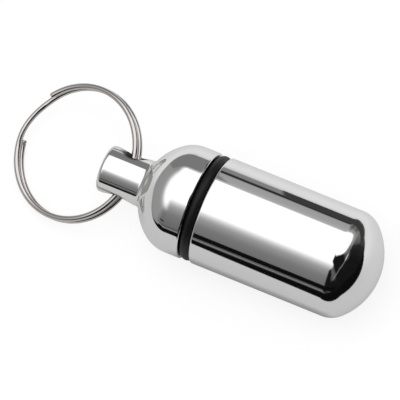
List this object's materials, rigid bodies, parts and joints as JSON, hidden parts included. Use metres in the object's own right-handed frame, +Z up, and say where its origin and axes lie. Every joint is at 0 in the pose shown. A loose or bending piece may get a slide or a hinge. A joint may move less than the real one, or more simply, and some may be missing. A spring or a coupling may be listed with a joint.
{
  "type": "pill fob keychain",
  "caption": "Small cylindrical metal pill holder with a domed end, a screw cap closed on a rubber seal, and a split ring through the neck of the cap.",
  "frame": {"origin": "on the fob's axis, halfway along the straight barrel of the canister", "axes": "+X along the fob from the neck of the cap to the domed end, +Z up, with the fob lying on its side on z = -9.5 mm"},
  "size_m": [0.0683, 0.0234, 0.019],
  "materials": {
    "polished_body": "turned and polished to a mirror",
    "seal_rubber": "moulded black rubber, satin",
    "ring_wire": "bright drawn wire"
  },
  "bodies": {
    "canister": {"canister": "polished_body"},
    "seal": {"o_ring": "seal_rubber"},
    "cap": {"cap": "polished_body"},
    "ring": {"split_ring": "ring_wire"}
  },
  "joints": [
    {"name": "cap_lift", "type": "slide", "parent": "canister", "child": "seal", "axis": [-1, 0, 0], "range_m": [0, 0.0121]},
    {"name": "cap_turn", "type": "hinge", "parent": "seal", "child": "cap", "pos_m": [0, 0, 0], "axis": [-1, 0, 0], "range_deg": [0, 4320]},
    {"name": "ring_swing", "type": "hinge", "parent": "cap", "child": "ring", "pos_m": [-0.02846, 0, 0], "axis": [0, 0.9011, 0.4337], "range_deg": [-125, 165]}
  ],
  "couplings": [
    {"joint": "cap_lift", "follows": "cap_turn", "m_per_rad": 0.00015915}
  ]
}
